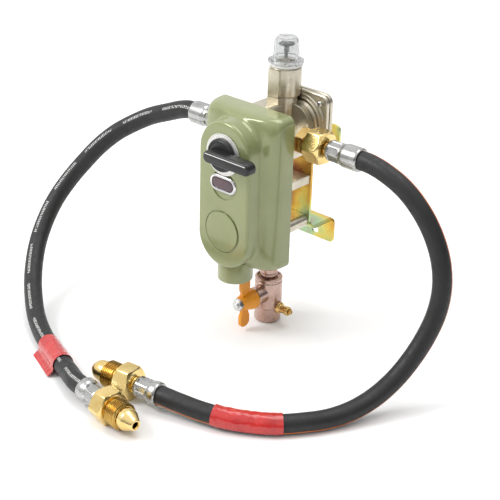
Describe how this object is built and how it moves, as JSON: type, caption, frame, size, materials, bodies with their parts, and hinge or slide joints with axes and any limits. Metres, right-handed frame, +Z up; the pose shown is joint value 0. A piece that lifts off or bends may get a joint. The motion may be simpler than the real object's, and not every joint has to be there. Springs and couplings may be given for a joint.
{
  "type": "two-cylinder changeover gas regulator with hoses",
  "caption": "Automatic changeover gas regulator on a wall bracket, with selector knob, shut-off tower, outlet ball valve and rubber hoses that end in brass cylinder fittings.",
  "frame": {"origin": "on the bracket's back face, on its centre line between the lower screw hole and the lower bend", "axes": "+Z up; +Y out of the back face, into the wall; -Y towards the selector knob; +X to the right of someone facing the knob"},
  "size_m": [0.4104, 0.3005, 0.2648],
  "materials": {
    "green_paint": "gloss enamel",
    "die_casting": "satin, as cast",
    "brass": "bright turned",
    "plated_steel": "bright zinc",
    "yellow_zinc": "yellow passivated zinc",
    "black_plastic": "semi gloss",
    "hose_rubber": "matt with printed marks",
    "seal_rubber": "matt",
    "orange_plastic": "gloss paint",
    "red_tape": "satin vinyl",
    "clear_plastic": "clear moulding",
    "white_plastic": "satin",
    "dial_metal": "bright",
    "window_lens": "dark glossy",
    "nickel_brass": "nickel over brass",
    "indicator_red": "gloss"
  },
  "bodies": {
    "regulator": {"bracket_screw_lower": "plated_steel", "bracket_screw_upper": "plated_steel", "bullnose_stem_left": "brass", "bullnose_stem_right": "brass", "changeover_body": "die_casting", "changeover_cover": "green_paint", "cylinder_ferrule_left": "plated_steel", "cylinder_ferrule_right": "plated_steel", "dial_plate": "dial_metal", "diaphragm": "seal_rubber", "flange_screw_1": "plated_steel", "flange_screw_2": "plated_steel", "flange_screw_3": "plated_steel", "flange_screw_4": "plated_steel", "gland_nut": "black_plastic", "hose_label_left": "red_tape", "hose_label_right": "red_tape", "hose_left": "hose_rubber", "hose_right": "hose_rubber", "hose_tail_left": "brass", "hose_tail_right": "brass", "inlet_nipple_left": "brass", "inlet_nipple_right": "brass", "opso_rim_ring": "white_plastic", "opso_spring": "plated_steel", "opso_tower": "die_casting", "outlet_neck": "brass", "regulator_ferrule_left": "plated_steel", "regulator_ferrule_right": "plated_steel", "second_stage_body": "die_casting", "second_stage_cover": "die_casting", "test_nipple": "brass", "valve_body": "nickel_brass", "wall_bracket": "yellow_zinc", "window_bezel": "plated_steel", "window_lens": "window_lens"},
    "selector": {"selector_knob": "black_plastic", "selector_spindle": "plated_steel"},
    "follower_left": {"cam_follower_left": "brass"},
    "follower_right": {"cam_follower_right": "brass"},
    "flag": {"indicator_flag": "indicator_red"},
    "shutoff_cap": {"opso_cap": "clear_plastic"},
    "shutoff_stem": {"opso_stem": "plated_steel"},
    "regulating_plate": {"diaphragm_plate": "plated_steel", "main_spring": "plated_steel"},
    "outlet_handle": {"valve_handle": "orange_plastic", "valve_stem": "plated_steel", "valve_ball": "plated_steel", "handle_nut": "plated_steel"},
    "test_plug_screw": {"test_screw": "plated_steel", "test_seal": "seal_rubber"},
    "inlet_nut_left": {"union_nut_left": "brass"},
    "inlet_nut_right": {"union_nut_right": "brass"},
    "cylinder_nut_left": {"cylinder_nut_left": "brass"},
    "cylinder_nut_right": {"cylinder_nut_right": "brass"}
  },
  "joints": [
    {"name": "selector_turn", "type": "hinge", "parent": "regulator", "child": "selector", "pos_m": [0, -0.13, 0.099], "axis": [0, -1, 0], "range_deg": [0, 180]},
    {"name": "follower_left_slide", "type": "slide", "parent": "regulator", "child": "follower_left", "axis": [1, 0, 0], "range_m": [-0.002, 0]},
    {"name": "follower_right_slide", "type": "slide", "parent": "regulator", "child": "follower_right", "axis": [1, 0, 0], "range_m": [-0.002, 0]},
    {"name": "flag_slide", "type": "slide", "parent": "regulator", "child": "flag", "axis": [1, 0, 0], "range_m": [0, 0.01]},
    {"name": "shutoff_cap_lift", "type": "slide", "parent": "regulator", "child": "shutoff_cap", "axis": [0, 0, 1], "range_m": [0, 0.03]},
    {"name": "shutoff_stem_drop", "type": "slide", "parent": "regulator", "child": "shutoff_stem", "axis": [0, 0, 1], "range_m": [-0.004, 0], "deforming": ["opso_spring"]},
    {"name": "regulating_plate_travel", "type": "slide", "parent": "regulator", "child": "regulating_plate", "axis": [0, 1, 0], "range_m": [-0.0015, 0.0015]},
    {"name": "outlet_handle_turn", "type": "hinge", "parent": "regulator", "child": "outlet_handle", "pos_m": [0, -0.066, -0.0515], "axis": [0, -1, 0], "range_deg": [0, 90]},
    {"name": "test_screw_turn", "type": "hinge", "parent": "regulator", "child": "test_plug_screw", "pos_m": [0.022, -0.066, -0.0645], "axis": [1, 0, 0], "range_deg": [0, 720]},
    {"name": "inlet_nut_left_turn", "type": "hinge", "parent": "regulator", "child": "inlet_nut_left", "pos_m": [-0.0455, -0.07, 0.0975], "axis": [-1, 0, 0], "continuous": true},
    {"name": "inlet_nut_right_turn", "type": "hinge", "parent": "regulator", "child": "inlet_nut_right", "pos_m": [0.053, -0.07, 0.105], "axis": [1, 0, 0], "continuous": true},
    {"name": "cylinder_nut_left_turn", "type": "hinge", "parent": "regulator", "child": "cylinder_nut_left", "pos_m": [-0.0122, -0.2793, -0.0665], "axis": [0.9902, -0.1396, 0], "continuous": true},
    {"name": "cylinder_nut_right_turn", "type": "hinge", "parent": "regulator", "child": "cylinder_nut_right", "pos_m": [0.0403, -0.2441, -0.0665], "axis": [-0.995, -0.0995, 0], "continuous": true}
  ],
  "couplings": [
    {"joint": "follower_left_slide", "follows": "selector_turn", "m_per_rad": -0.00063},
    {"joint": "follower_right_slide", "follows": "selector_turn", "m_per_rad": -0.00063}
  ]
}
